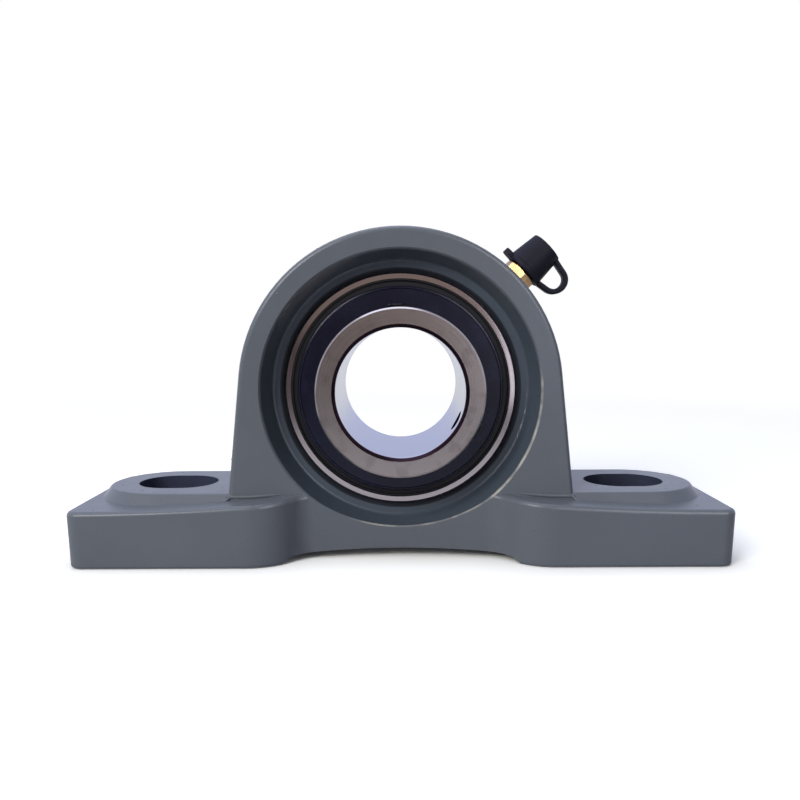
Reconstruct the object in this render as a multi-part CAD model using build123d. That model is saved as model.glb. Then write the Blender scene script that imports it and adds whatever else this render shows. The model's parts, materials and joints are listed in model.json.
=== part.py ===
"""Pillow block bearing: a cast foot-mounted housing round a self-aligning ball bearing insert.

The shaft axis runs along Y, the base along X, and Z is up.  The origin is on the base plane,
under the middle of the insert.  The long end of the inner ring, with the set screws, faces -Y.
All sizes are millimetres.
"""
from build123d import *
from math import acos, asin, atan2, cos, degrees, radians, sin, sqrt, tan
import os

# ---- housing: feet and base ------------------------------------------------------------------
shaft_height = 42.9         # base plane to shaft axis
base_length = 165.0
base_width = 48.0
bolt_spacing = 121.0
slot_length = 21.0
slot_width = 17.0
pad_height = 17.0           # bolt seat above the base plane
pad_half_width = 15.5
pad_margin = 4.5            # outer end of a pad to the end of the base
pad_draft = 38.0            # degrees, sloping side of the pads
pad_rise = 3.2              # sloping part of the pads, mostly buried in the feet
pad_edge_radius = 0.7
pad_root_x = 34.0           # inner end of a pad, inside the arch
foot_end_height = 14.2
foot_sweep_radius = 660.0   # hollow sweep of the foot tops, from the end inwards
foot_root_x = 18.0          # inner end of a foot, inside the arch
corner_radius = 3.5         # upright corners of the base
foot_edge_radius = 1.2
sole_edge_radius = 0.9
end_draft = 2.5             # degrees, the ends of the base lean in towards the sole
waist_half_length = 24.5    # the base narrows between the feet
waist_half_width = 14.0     # in the middle
waist_flare = 2.0           # the waist is this much wider at its ends, on each side
waist_root_radius = 8.0
waist_shoulder_radius = 14.0
relief_half_length = 30.0   # underside is raised between the feet
relief_height = 1.5
relief_crown = 0.9
relief_slope = 2.2
centre_mark_depth = 0.8
# ---- housing: arch ---------------------------------------------------------------------------
crown_radius = 41.1         # shaft axis to the top of the arch
arch_width = 32.0
arch_draft = 1.2            # degrees, from the parting plane to both faces
flank_splay = 6.0           # degrees, the flanks lean out towards the base
arch_root_height = 0.8
arch_edge_radius = 1.3
# ---- housing: insert seat --------------------------------------------------------------------
seat_clearance = 0.03
seat_half_width = 8.0
seat_lip = 0.85             # chamfer round the spherical seat
floor_width = 2.3           # flat floor of the recess, outside the lip
floor_fall = 0.3
recess_flare = 17.0         # degrees, side wall of the recess
recess_edge = 0.5
recess_fillet = 1.0
loading_slot_side = 0.5     # loading slot beyond the insert width, on each side
grease_groove_width = 5.6
grease_groove_depth = 1.0
grease_groove_offset = 3.2  # towards the back, over the grease hole of the outer ring
# ---- bearing insert --------------------------------------------------------------------------
bore_diameter = 31.75       # 1 1/4 in shaft
inner_ring_front = 22.2     # long end, beyond the middle of the balls
inner_ring_back = 15.9
inner_ring_radius = 20.8
bore_chamfer = 0.8
edge_break = 0.4            # small chamfer on turned and threaded pieces
sphere_radius = 31.0        # 62 mm spherical outer ring
outer_ring_width = 18.0
outer_edge_break = 0.25
outer_shoulder_radius = 25.6
seal_bore_radius = 28.3
seal_step = 6.8             # middle of the balls to the step that carries a seal
ball_count = 9
ball_diameter = 9.525
pitch_diameter = 46.0
groove_conformity = 0.52    # raceway radius over ball diameter
race_clearance = 0.03
grease_hole_radius = 0.8
grease_hole_offset = 5.2
# ---- cage ------------------------------------------------------------------------------------
cage_thickness = 0.8
cage_width = 3.5
pocket_clearance = 0.15
rivet_radius = 0.75
rivet_clearance = 0.02
rivet_head_radius = 1.3
rivet_head_height = 0.55
rivet_head_chamfer = 0.33
# ---- seals and slingers ----------------------------------------------------------------------
seal_fit = 0.02
seal_plate_thickness = 0.6
seal_plate_inner_radius = 23.0
seal_rim_height = 1.2
seal_rim_thickness = 0.6
rubber_thickness = 0.8
lip_clearance = 0.03
lip_thickness = 0.5
slinger_thickness = 0.7
slinger_radius = 26.4
slinger_face = 9.9          # middle of the balls to the slinger's outer face
slinger_collar = 1.3
slinger_lip = 0.6
# ---- set screws ------------------------------------------------------------------------------
set_screw_angles = (-28.0, 92.0)   # degrees from +X towards +Z
set_screw_radius = 2.55     # root of an M6 x 0.75 thread
set_screw_clearance = 0.03
set_screw_length = 5.2
set_screw_tip = 16.5        # shaft axis to the cup point, screw backed off
set_screw_from_face = 6.0
set_screw_point = 0.6
hex_key_size = 3.0
hex_key_depth = 2.6
# ---- grease fitting: heights count from its flat seat on the arch ----------------------------
fitting_angle = 43.3        # degrees from +X towards +Z
fitting_seat_depth = 0.4    # spot face below the crown radius
fitting_seat_radius = 6.0
fitting_thread_radius = 2.5
fitting_thread_length = 5.5
fitting_thread_clearance = 0.02
fitting_hole_spare = 0.8
grease_passage_radius = 1.5
fitting_hex_size = 8.0
fitting_hex_turn = 40.0     # degrees, where the thread happens to tighten
fitting_hex_height = 3.6
fitting_neck_radius = 2.3
fitting_neck_length = 1.7
fitting_head_radius = 3.25
fitting_head_land = 0.9
fitting_head_height = 4.4
fitting_nose_radius = 2.3
fitting_bore_radius = 1.3
fitting_bore_floor = 0.6    # spring seat
fitting_inlet_radius = 0.7
fitting_inlet_length = 1.0
fitting_outlet_radius = 0.8
check_ball_radius = 1.15
check_ball_clearance = 0.03
spring_wire_radius = 0.14
spring_turns = 5
spring_side_clearance = 0.12
# ---- dust cap and its tether -----------------------------------------------------------------
tether_ring_gap = 0.15      # above the hexagon, and round the neck
tether_thickness = 1.4
tether_ring_radius = 5.4
tether_tab_reach = 7.2
tether_tab_width = 4.4
tether_tab_corner = 1.5
tether_width = 3.2
tether_loop_radius = 3.1    # middle of the strap, round the end of the loop
tether_loop_offset = 7.4    # fitting axis to the centre of that end
tether_loop_lift = 0.7      # the end of the loop stands this far above the ring
cap_base_radius = 5.3
cap_top_radius = 4.5
cap_length = 7.7
cap_wall = 1.5
cap_roof = 1.5
cap_edge_radius = 0.2
tether_joint_depth = 0.6    # the loop is moulded into the cap this far

# ---- sizes that follow -----------------------------------------------------------------------
AXIS = Pos(0, 0, shaft_height)
OVERRUN = 1.0               # cutting tools run this far past the faces they open
WALL_SHARE = 0.98           # of a straight wall, that its two fillets may use up
FACES = (("front", -1), ("rear", 1))
STANDING = (Align.CENTER, Align.CENTER, Align.MIN)
arch_half = arch_width / 2
ring_half = outer_ring_width / 2
pitch_radius = pitch_diameter / 2
ball_radius = ball_diameter / 2
groove_radius = groove_conformity * ball_diameter
bore_radius = bore_diameter / 2
seat_radius = sphere_radius + seat_clearance
ball_angles = [90 + 360 * k / ball_count for k in range(ball_count)]
rivet_angles = [angle + 180 / ball_count for angle in ball_angles]
set_screw_y = -inner_ring_front + set_screw_from_face
fitting_seat = crown_radius - fitting_seat_depth


def polar(radius, angle, y=0.0):
    """Location at a radius and angle round the shaft axis, with local Z pointing outwards."""
    outward = Vector(cos(radians(angle)), 0, sin(radians(angle)))
    origin = Vector(0, y, shaft_height) + outward * radius
    return Location(Plane(origin=origin, x_dir=(sin(radians(angle)), 0, -cos(radians(angle))),
                          z_dir=outward))


def turned(*edges):
    """Solid turned about the shaft axis from edges drawn as (radius, distance along the axis)."""
    return AXIS * revolve(make_face(edges), Axis.Y)


def turned_polygon(*points):
    return turned(*Polyline(*points, close=True).edges())


def sphere_reach(radius, y):
    """Radius of a sphere's circle at a distance y from its middle."""
    return sqrt(radius ** 2 - y ** 2)


# ---- housing ---------------------------------------------------------------------------------
def base_plan():
    """Plan of the base: a rectangle waisted between the feet, with 45 degree shoulders."""
    half_width = base_width / 2
    root_y = waist_half_width + waist_flare
    shoulder_x = waist_half_length + half_width - root_y
    plan = Rectangle(base_length, base_width)
    for side in (-1, 1):
        plan -= make_face([
            ThreePointArc((-waist_half_length, side * root_y), (0, side * waist_half_width),
                          (waist_half_length, side * root_y)),
            Polyline((waist_half_length, side * root_y), (shoulder_x, side * half_width),
                     (-shoulder_x, side * half_width), (-waist_half_length, side * root_y))])
    roots = [v for v in plan.vertices() if abs(abs(v.X) - waist_half_length) < 0.1]
    plan = fillet(roots, waist_root_radius)
    shoulders = [v for v in plan.vertices() if abs(abs(v.X) - shoulder_x) < 0.1]
    flank_room = WALL_SHARE * sqrt(2) * (half_width - root_y) / tan(radians(22.5))
    return fillet(shoulders, min(waist_shoulder_radius, flank_room - waist_root_radius))


def foot_side():
    """Side view of the +X foot: leaning end, and a top that sweeps up towards the arch."""
    def sweep_point(x):
        angle = asin((base_length / 2 - x) / foot_sweep_radius)
        return x, foot_end_height + foot_sweep_radius * (1 - cos(angle))

    end, root = base_length / 2, foot_root_x
    sole_end = end - foot_end_height * tan(radians(end_draft))
    return make_face([ThreePointArc(sweep_point(end), sweep_point((end + root) / 2), sweep_point(root)),
                      Polyline(sweep_point(root), (root, 0), (sole_end, 0), sweep_point(end))])


def flank_x(z):
    """Where the flank of the arch is at this height, on the +X side."""
    spring_x = crown_radius * cos(radians(flank_splay))
    spring_z = shaft_height + crown_radius * sin(radians(flank_splay))
    return spring_x + (spring_z - z) * tan(radians(flank_splay))


def bolt_pad():
    """Raised bolt seat on the +X foot: round outer end, sloping sides, square end at the arch."""
    root_half_width = pad_half_width + pad_rise * tan(radians(pad_draft))
    end_centre = base_length / 2 - pad_margin - pad_half_width
    outline = Pos(end_centre, 0) * Circle(root_half_width)
    outline += Pos((end_centre + pad_root_x) / 2, 0) * Rectangle(
        end_centre - pad_root_x, 2 * root_half_width)
    pad = extrude(Pos(0, 0, pad_height - pad_rise) * outline, pad_rise, taper=pad_draft)
    top = [e for e in pad.edges() if e.bounding_box().min.Z > pad_height - 0.01]
    beside_arch = Rectangle(2 * flank_x(pad_height), 2 * base_width) - Rectangle(
        2 * base_length, arch_width)
    return fillet(top, pad_edge_radius) - extrude(beside_arch, 2 * pad_height)


def foot():
    """The +X foot with its bolt seat, a rounded rim and a lightly broken sole."""
    def outside(body):
        return [e for e in body.edges() if e.center().X > foot_root_x + 0.01]

    body = extrude(base_plan(), shaft_height) & extrude(Plane.XZ * foot_side(), base_width, both=True)
    end_x = base_length / 2 - corner_radius
    body = fillet([e for e in outside(body) if e.bounding_box().min.X > end_x
                   and e.bounding_box().size.Z > foot_end_height / 2], corner_radius)
    body = fillet([e for e in outside(body) if e.bounding_box().min.Z > foot_end_height - 0.01],
                  foot_edge_radius)
    body = fillet([e for e in outside(body) if e.bounding_box().max.Z < 0.01], sole_edge_radius)
    return body + bolt_pad()


def arch():
    """Drafted arch round the seat: a circle on top and flanks that lean out to the base."""
    spring_z = shaft_height + crown_radius * sin(radians(flank_splay))
    spring_x, foot_x = flank_x(spring_z), flank_x(arch_root_height)
    outline = make_face([
        ThreePointArc((spring_x, spring_z), (0, shaft_height + crown_radius), (-spring_x, spring_z)),
        Polyline((-spring_x, spring_z), (-foot_x, arch_root_height), (foot_x, arch_root_height),
                 (spring_x, spring_z))])
    body = extrude(Plane.XZ * outline, arch_half, both=True, taper=arch_draft)
    edges = [e for e in body.edges() if abs(abs(e.center().Y) - arch_half) < 0.01
             and e.center().Z > arch_root_height + 1]
    waist_space = extrude(Rectangle(base_length, 2 * base_width) - base_plan(), shaft_height)
    return fillet(edges, arch_edge_radius) - waist_space


def seat_cut():
    """Everything removed round the shaft axis: spherical seat, chamfer, recess floor and flare."""
    lip_radius = sphere_reach(seat_radius, seat_half_width) + seat_lip
    lip_y = seat_half_width + seat_lip
    floor_radius = lip_radius + floor_width
    floor_y = lip_y + floor_fall
    slope = tan(radians(recess_flare))
    rim_y = arch_half - recess_edge
    rim_radius = floor_radius + (rim_y - floor_y) * slope
    mouth_radius = rim_radius + recess_edge
    outer_y = base_width / 2 + OVERRUN
    outer_radius = mouth_radius + (outer_y - arch_half) * slope
    seat_mouth = sphere_reach(seat_radius, seat_half_width)
    profile = make_face([
        ThreePointArc((seat_mouth, -seat_half_width), (seat_radius, 0), (seat_mouth, seat_half_width)),
        Polyline((seat_mouth, seat_half_width), (lip_radius, lip_y), (floor_radius, floor_y),
                 (rim_radius, rim_y), (mouth_radius, arch_half), (outer_radius, outer_y), (0, outer_y),
                 (0, -outer_y), (outer_radius, -outer_y), (mouth_radius, -arch_half),
                 (rim_radius, -rim_y), (floor_radius, -floor_y), (lip_radius, -lip_y),
                 (seat_mouth, -seat_half_width))])
    corners = [v for v in profile.vertices() if abs(v.X - floor_radius) < 0.01]
    return AXIS * revolve(fillet(corners, recess_fillet), Axis.Y)


def loading_slots():
    """Two slots behind the seat, through which the insert is put in edgeways and then turned."""
    length = base_width / 2
    slot = Cylinder(seat_radius, length, rotation=(90, 0, 0)) & Box(
        2 * seat_radius, length, outer_ring_width + 2 * loading_slot_side)
    return Pos(0, length / 2, shaft_height) * slot


def grease_cuts():
    """Spot face, tapped hole, passage and groove that lead grease to the outer ring."""
    hole_depth = fitting_thread_length + fitting_hole_spare
    spot = Cylinder(fitting_seat_radius, crown_radius, align=STANDING)
    tapped = Pos(0, 0, -hole_depth) * Cylinder(
        fitting_thread_radius + fitting_thread_clearance, hole_depth + OVERRUN,
        align=STANDING)
    reach = fitting_seat - seat_radius + OVERRUN
    passage = Pos(0, 0, -reach) * Cylinder(
        grease_passage_radius, reach, align=STANDING)
    groove_top = seat_radius + grease_groove_depth
    low = grease_groove_offset - grease_groove_width / 2
    high = grease_groove_offset + grease_groove_width / 2
    inner = seat_radius - 2 * grease_groove_depth
    groove = turned_polygon((inner, low), (groove_top, low), (groove_top, high), (inner, high))
    return [polar(fitting_seat, fitting_angle) * (spot + tapped + passage), groove]


def sole_relief():
    """Space under the middle of the base, so that only the feet bear on the mounting face."""
    edge = relief_half_length
    top = relief_half_length - relief_slope
    outline = make_face([
        ThreePointArc((-top, relief_height), (0, relief_height + relief_crown), (top, relief_height)),
        Polyline((top, relief_height), (edge, 0), (edge, -OVERRUN), (-edge, -OVERRUN), (-edge, 0),
                 (-top, relief_height))])
    return extrude(Plane.XZ * outline, base_width, both=True)


def centre_marks():
    """Small upright vee on the middle of both faces, for lining the housing up."""
    height = relief_height + relief_crown + 2 * centre_mark_depth
    vee = Rot(0, 0, 45) * Box(centre_mark_depth * sqrt(2), centre_mark_depth * sqrt(2), 2 * height)
    return [Pos(0, side * arch_half, 0) * vee for side in (-1, 1)]


def housing():
    body = arch() + foot() + Rot(0, 0, 180) * foot()
    for side in (-1, 1):
        body -= Pos(side * bolt_spacing / 2, 0) * extrude(SlotOverall(slot_length, slot_width),
                                                           2 * pad_height)
    body -= sole_relief()
    body -= centre_marks()
    body -= seat_cut()
    body -= loading_slots()
    body -= grease_cuts()
    return body


# ---- rings and balls -------------------------------------------------------------------------
def groove_mouth(depth):
    """Half width of a raceway where it breaks out of a shoulder this far above its bottom."""
    return sqrt(groove_radius ** 2 - (groove_radius - depth) ** 2)


def outer_ring():
    """Spherical outside, deep-groove raceway inside, stepped at both ends for the seals."""
    race_bottom = pitch_radius + ball_radius + race_clearance
    mouth = groove_mouth(race_bottom - outer_shoulder_radius)
    edge_y = ring_half - outer_edge_break
    edge = sphere_reach(sphere_radius, edge_y)
    face = edge - outer_edge_break
    ring = turned(
        ThreePointArc((edge, -edge_y), (sphere_radius, 0), (edge, edge_y)),
        Polyline((edge, edge_y), (face, ring_half), (seal_bore_radius, ring_half),
                 (seal_bore_radius, seal_step), (outer_shoulder_radius, seal_step),
                 (outer_shoulder_radius, mouth)),
        ThreePointArc((outer_shoulder_radius, mouth), (race_bottom, 0), (outer_shoulder_radius, -mouth)),
        Polyline((outer_shoulder_radius, -mouth), (outer_shoulder_radius, -seal_step),
                 (seal_bore_radius, -seal_step), (seal_bore_radius, -ring_half), (face, -ring_half),
                 (edge, -edge_y)))
    hole = Cylinder(grease_hole_radius, 2 * crown_radius)
    return ring - Pos(0, grease_hole_offset, shaft_height) * hole


def set_screw_holes():
    hole = Cylinder(set_screw_radius + set_screw_clearance, crown_radius,
                    align=STANDING)
    return [polar(0, angle, set_screw_y) * hole for angle in set_screw_angles]


def inner_ring():
    """Inner ring with one raceway; its long front end takes the two set screws."""
    race_bottom = pitch_radius - ball_radius - race_clearance
    mouth = groove_mouth(inner_ring_radius - race_bottom)
    front, back = -inner_ring_front, inner_ring_back
    ring = turned(
        Polyline((inner_ring_radius, mouth), (inner_ring_radius, back - edge_break),
                 (inner_ring_radius - edge_break, back), (bore_radius + bore_chamfer, back),
                 (bore_radius, back - bore_chamfer), (bore_radius, front + bore_chamfer),
                 (bore_radius + bore_chamfer, front), (inner_ring_radius - edge_break, front),
                 (inner_ring_radius, front + edge_break), (inner_ring_radius, -mouth)),
        ThreePointArc((inner_ring_radius, -mouth), (race_bottom, 0), (inner_ring_radius, mouth)))
    return ring - set_screw_holes()


def ball(angle):
    return polar(pitch_radius, angle) * Sphere(ball_radius)


# ---- cage: two pressed halves, riveted between the balls --------------------------------------
def cage_half(side):
    """One half: a flat band between the pockets and a round shell over each ball."""
    pocket_radius = ball_radius + pocket_clearance
    reach = pocket_radius + cage_thickness
    outer, inner = pitch_radius + cage_width / 2, pitch_radius - cage_width / 2
    flat = turned_polygon((inner, 0), (outer, 0), (outer, side * cage_thickness),
                          (inner, side * cage_thickness))
    half_room = turned_polygon((inner, 0), (outer, 0), (outer, side * reach), (inner, side * reach))
    half = flat + [half_room & polar(pitch_radius, angle) * Sphere(reach) for angle in ball_angles]
    half -= [polar(pitch_radius, angle) * Sphere(pocket_radius) for angle in ball_angles]
    shank = Cylinder(rivet_radius + rivet_clearance, 4 * cage_thickness, rotation=(90, 0, 0))
    return half - [Location(polar(pitch_radius, angle).position) * shank for angle in rivet_angles]


def rivets():
    """Nine rivets with a head on each side of the cage."""
    head = cage_thickness + rivet_head_height
    rivet = revolve(make_face(Polyline(
        (0, -head), (rivet_head_radius - rivet_head_chamfer, -head),
        (rivet_head_radius, -head + rivet_head_chamfer),
        (rivet_head_radius, -cage_thickness), (rivet_radius, -cage_thickness),
        (rivet_radius, cage_thickness), (rivet_head_radius, cage_thickness),
        (rivet_head_radius, head - rivet_head_chamfer),
        (rivet_head_radius - rivet_head_chamfer, head), (0, head),
        close=True)), Axis.Y)
    return Compound(children=[Location(polar(pitch_radius, angle).position) * rivet.solid()
                              for angle in rivet_angles])


# ---- seals and slingers ----------------------------------------------------------------------
def seal_plate(side):
    """Pressed steel plate seated against the step of the outer ring."""
    outer = seal_bore_radius - seal_fit
    face = seal_step + seal_plate_thickness
    rim = face + seal_rim_height
    rim_inner = outer - seal_rim_thickness
    return turned_polygon(
        (seal_plate_inner_radius, side * seal_step), (outer, side * seal_step), (outer, side * rim),
        (rim_inner, side * rim), (rim_inner, side * face), (seal_plate_inner_radius, side * face))


def seal_rubber(side):
    """Rubber moulded on the plate, with a lip that runs on the inner ring."""
    face = seal_step + seal_plate_thickness
    outer = seal_bore_radius - seal_fit - seal_rim_thickness
    lip = inner_ring_radius + lip_clearance
    lip_root = seal_plate_inner_radius - lip_thickness
    return turned_polygon(
        (outer, side * face), (outer, side * (face + rubber_thickness)),
        (lip_root, side * (face + rubber_thickness)),
        (lip, side * (seal_step + lip_thickness)), (lip, side * seal_step),
        (seal_plate_inner_radius, side * seal_step), (seal_plate_inner_radius, side * face))


def slinger(side):
    """Pressed ring on the inner ring that throws dirt clear of the seal."""
    back = slinger_face - slinger_thickness
    bend = slinger_radius - slinger_thickness
    collar_radius = inner_ring_radius + slinger_thickness
    collar = slinger_face + slinger_collar
    return turned_polygon(
        (inner_ring_radius, side * back), (bend, side * back), (bend, side * (back - slinger_lip)),
        (slinger_radius, side * (back - slinger_lip)),
        (slinger_radius, side * (slinger_face - slinger_thickness / 2)),
        (slinger_radius - slinger_thickness / 2, side * slinger_face),
        (collar_radius, side * slinger_face), (collar_radius, side * collar),
        (inner_ring_radius, side * collar))


# ---- set screws ------------------------------------------------------------------------------
def set_screw(angle):
    """Cup-point set screw with a hexagon socket, backed off clear of the shaft."""
    point = set_screw_radius - set_screw_point
    body = revolve(make_face(Polyline(
        (0, set_screw_point / 2), (point, 0), (set_screw_radius, set_screw_point),
        (set_screw_radius, set_screw_length - edge_break),
        (set_screw_radius - edge_break, set_screw_length), (0, set_screw_length), close=True)), Axis.Y)
    socket = extrude(RegularPolygon(hex_key_size / 2, 6, major_radius=False), hex_key_depth)
    upright = Rot(90, 0, 0) * body
    return polar(set_screw_tip, angle, set_screw_y) * (
        upright - Pos(0, 0, set_screw_length - hex_key_depth) * socket)


# ---- grease fitting --------------------------------------------------------------------------
def lathe(*points):
    """Solid turned about local Z from (radius, height) points."""
    return revolve(make_face(Plane.XZ * Polyline(*points, close=True)), Axis.Z)


fitting_place = polar(fitting_seat, fitting_angle)
neck_start = fitting_hex_height
head_start = neck_start + fitting_neck_length
head_wide = head_start + (fitting_head_radius - fitting_neck_radius)
fitting_top = head_start + fitting_head_height
valve_top = fitting_top - fitting_inlet_length
valve_cone = fitting_bore_radius - fitting_inlet_radius
valve_bottom = valve_top - valve_cone
check_ball_height = (valve_bottom + fitting_bore_radius
                     - (check_ball_radius + check_ball_clearance) * sqrt(2))


def grease_fitting_body():
    """Threaded nipple with a hexagon, a neck and a ball-check bore."""
    body = lathe((0, -fitting_thread_length), (fitting_thread_radius, -fitting_thread_length),
                 (fitting_thread_radius, 0), (fitting_neck_radius, 0), (fitting_neck_radius, head_start),
                 (fitting_head_radius, head_wide), (fitting_head_radius, head_wide + fitting_head_land),
                 (fitting_nose_radius, fitting_top), (0, fitting_top))
    hexagon = extrude(Rot(0, 0, fitting_hex_turn) * RegularPolygon(
        fitting_hex_size / 2, 6, major_radius=False), fitting_hex_height)
    corner = fitting_hex_size / sqrt(3)
    crown = lathe((0, 0), (corner, 0), (corner, fitting_hex_height - edge_break),
                  (corner - 2 * edge_break, fitting_hex_height), (0, fitting_hex_height))
    inlet_end = fitting_top + OVERRUN
    outlet_end = -fitting_thread_length - OVERRUN
    bore = lathe((0, outlet_end), (fitting_outlet_radius, outlet_end),
                 (fitting_outlet_radius, fitting_bore_floor), (fitting_bore_radius, fitting_bore_floor),
                 (fitting_bore_radius, valve_bottom), (fitting_inlet_radius, valve_top),
                 (fitting_inlet_radius, inlet_end), (0, inlet_end))
    return fitting_place * (body + (hexagon & crown) - bore)


def grease_fitting_ball():
    return fitting_place * Pos(0, 0, check_ball_height) * Sphere(check_ball_radius)


def grease_fitting_spring():
    """Compression spring that holds the check ball up against its seat."""
    coil_radius = fitting_bore_radius - spring_side_clearance - spring_wire_radius
    ball_contact = check_ball_height - sqrt((check_ball_radius + spring_wire_radius) ** 2 - coil_radius ** 2)
    start = fitting_bore_floor + spring_wire_radius
    height = ball_contact - spring_wire_radius - start
    coil = Helix(height / spring_turns, height, coil_radius)
    wire = sweep(Plane(origin=coil @ 0, z_dir=coil % 0) * Circle(spring_wire_radius), path=coil)
    return fitting_place * Pos(0, 0, start) * wire


# ---- dust cap and tether ---------------------------------------------------------------------
tether_start = fitting_hex_height + tether_ring_gap
cap_start = tether_start + tether_thickness


def grease_cap():
    """Tapered cup that covers the head of the fitting."""
    top = cap_start + cap_length
    cup = lathe((0, cap_start), (cap_base_radius, cap_start), (cap_top_radius, top), (0, top))
    cup = fillet([e for e in cup.edges() if e.bounding_box().min.Z > top - 0.01], cap_edge_radius)
    mouth = cap_start - OVERRUN
    hollow = lathe((0, mouth), (cap_base_radius - cap_wall, mouth),
                   (cap_base_radius - cap_wall, cap_start),
                   (cap_top_radius - cap_wall / 2, top - cap_roof), (0, top - cap_roof))
    return fitting_place * (cup - hollow)


def cap_tether():
    """Ring round the neck with a pull tab, and a strap that loops up to the top of the cap."""
    middle = tether_start + tether_thickness / 2
    bend = middle + tether_loop_lift + tether_loop_radius
    wall_end = (cap_top_radius - tether_joint_depth,
                cap_start + cap_length - tether_thickness / 2 - cap_edge_radius)
    ring_end = (tether_ring_radius - tether_thickness, middle)

    def touch(end, side):
        across, up = end[0] - tether_loop_offset, end[1] - bend
        half_angle = acos(tether_loop_radius / sqrt(across ** 2 + up ** 2))
        return degrees(atan2(up, across) + side * half_angle)

    start = touch(ring_end, 1)
    loop = CenterArc((tether_loop_offset, bend), tether_loop_radius, start, touch(wall_end, -1) - start)
    route = Line(wall_end, loop @ 1) + loop + Line(loop @ 0, ring_end)
    strap = extrude(Plane.XZ * trace(route, tether_thickness), tether_width / 2, both=True)
    ring = lathe((0, tether_start), (tether_ring_radius, tether_start),
                 (tether_ring_radius, cap_start), (0, cap_start))
    tab = Pos(-tether_tab_reach / 2, 0, middle) * Box(tether_tab_reach, tether_tab_width, tether_thickness)
    tab = fillet([e for e in tab.edges().filter_by(Axis.Z) if e.center().X < -1],
                 tether_tab_corner)
    opening = Cylinder(fitting_neck_radius + tether_ring_gap, 3 * tether_thickness)
    return fitting_place * (strap + ring + tab - Pos(0, 0, middle) * opening)


# ---- the assembly ----------------------------------------------------------------------------
def assembly():
    nodes = {"housing": housing(), "outer_ring": outer_ring(), "inner_ring": inner_ring(),
             "cage_rivets": rivets(), "grease_fitting_body": grease_fitting_body(),
             "grease_fitting_ball": grease_fitting_ball(),
             "grease_fitting_spring": grease_fitting_spring(),
             "grease_cap": grease_cap(), "cap_tether": cap_tether()}
    for name, side in FACES:
        nodes[f"cage_{name}"] = cage_half(side)
        nodes[f"seal_plate_{name}"] = seal_plate(side)
        nodes[f"seal_rubber_{name}"] = seal_rubber(side)
        nodes[f"slinger_{name}"] = slinger(side)
    for number, angle in enumerate(ball_angles, start=1):
        nodes[f"ball_{number}"] = ball(angle)
    for number, angle in enumerate(set_screw_angles, start=1):
        nodes[f"set_screw_{number}"] = set_screw(angle)
    return nodes


os.makedirs("parts", exist_ok=True)
for node, solid in assembly().items():
    export_step(solid, f"parts/{node}.step")
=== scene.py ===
# %% [markdown]
# # A pillow block bearing, dressed for a studio picture
#
# The solids come ready made and already assembled, in metres, with every piece in its place.
# This script gives each one the finish it has on the real unit, adds the fine shapes that a
# solid model leaves out, such as threads and moulded edges, and sets the camera and the lights.

# %% Load the assembled solids
import json
from math import acos, atan2, cos, pi, radians, sin, tan

import bmesh
import bpy
from mathutils import Matrix, Vector


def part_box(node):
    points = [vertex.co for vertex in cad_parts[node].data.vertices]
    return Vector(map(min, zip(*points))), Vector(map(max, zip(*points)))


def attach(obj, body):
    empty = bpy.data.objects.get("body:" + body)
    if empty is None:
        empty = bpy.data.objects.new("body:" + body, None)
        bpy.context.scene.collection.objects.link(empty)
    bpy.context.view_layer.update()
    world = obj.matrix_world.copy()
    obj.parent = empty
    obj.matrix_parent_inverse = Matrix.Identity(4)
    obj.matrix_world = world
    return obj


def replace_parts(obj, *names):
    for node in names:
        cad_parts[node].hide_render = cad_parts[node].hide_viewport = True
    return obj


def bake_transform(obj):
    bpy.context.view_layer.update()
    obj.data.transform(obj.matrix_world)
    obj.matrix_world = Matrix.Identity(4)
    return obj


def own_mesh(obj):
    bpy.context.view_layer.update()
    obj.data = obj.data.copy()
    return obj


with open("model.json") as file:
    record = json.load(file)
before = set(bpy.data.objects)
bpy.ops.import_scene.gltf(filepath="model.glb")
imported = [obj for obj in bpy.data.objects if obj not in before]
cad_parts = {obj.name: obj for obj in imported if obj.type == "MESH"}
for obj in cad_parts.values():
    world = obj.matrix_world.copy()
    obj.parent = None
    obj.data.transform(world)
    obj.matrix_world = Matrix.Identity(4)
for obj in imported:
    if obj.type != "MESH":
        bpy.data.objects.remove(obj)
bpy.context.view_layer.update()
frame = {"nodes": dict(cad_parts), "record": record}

MM = 0.001
nodes = frame["nodes"]

# %% [markdown]
# ## Camera
#
# A short lens close to the front makes the near feet large and lets the eye see a little of the
# bore's wall. The camera stands just above the shaft's height and looks down by a few degrees.

# %% Camera
LENS, SHIFT = 34.9, -0.0016
CAMERA_PLACE = Vector((0.185, -208.7, 59.6)) * MM
LOOK_DOWN, ROLL = radians(5.6), radians(-0.23)


def put_in_scene(name, data):
    """An object of the scene that shows this data."""
    made = bpy.data.objects.new(name, data)
    bpy.context.scene.collection.objects.link(made)
    return made


camera = put_in_scene("studio_camera", bpy.data.cameras.new("studio_camera"))
camera.data.lens, camera.data.shift_x = LENS, SHIFT
camera.data.clip_start, camera.data.clip_end = 0.01, 20.0
camera.matrix_world = (Matrix.Translation(CAMERA_PLACE)
                       @ Matrix.Rotation(pi / 2 - LOOK_DOWN, 4, "X")
                       @ Matrix.Rotation(ROLL, 4, "Z"))
bpy.context.scene.camera = camera
bpy.context.scene.view_settings.view_transform = "Standard"
print("camera, mm:", [round(v / MM, 1) for v in camera.matrix_world.translation])

# %% [markdown]
# ## Colours and nodes
#
# Colours are written as they look on a screen, and one function turns them to the linear values
# that a renderer adds and multiplies. One more function adds a node, fills in its settings and
# its inputs, so that a material below reads as a list of what it is made of.

# %% Colour and node helpers
def srgb(code):
    """A linear colour from a hex code as seen on a screen."""
    parts = [int(code[i:i + 2], 16) / 255 for i in (1, 3, 5)]
    return [*(c / 12.92 if c <= 0.04045 else ((c + 0.055) / 1.055) ** 2.4 for c in parts), 1.0]


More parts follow.
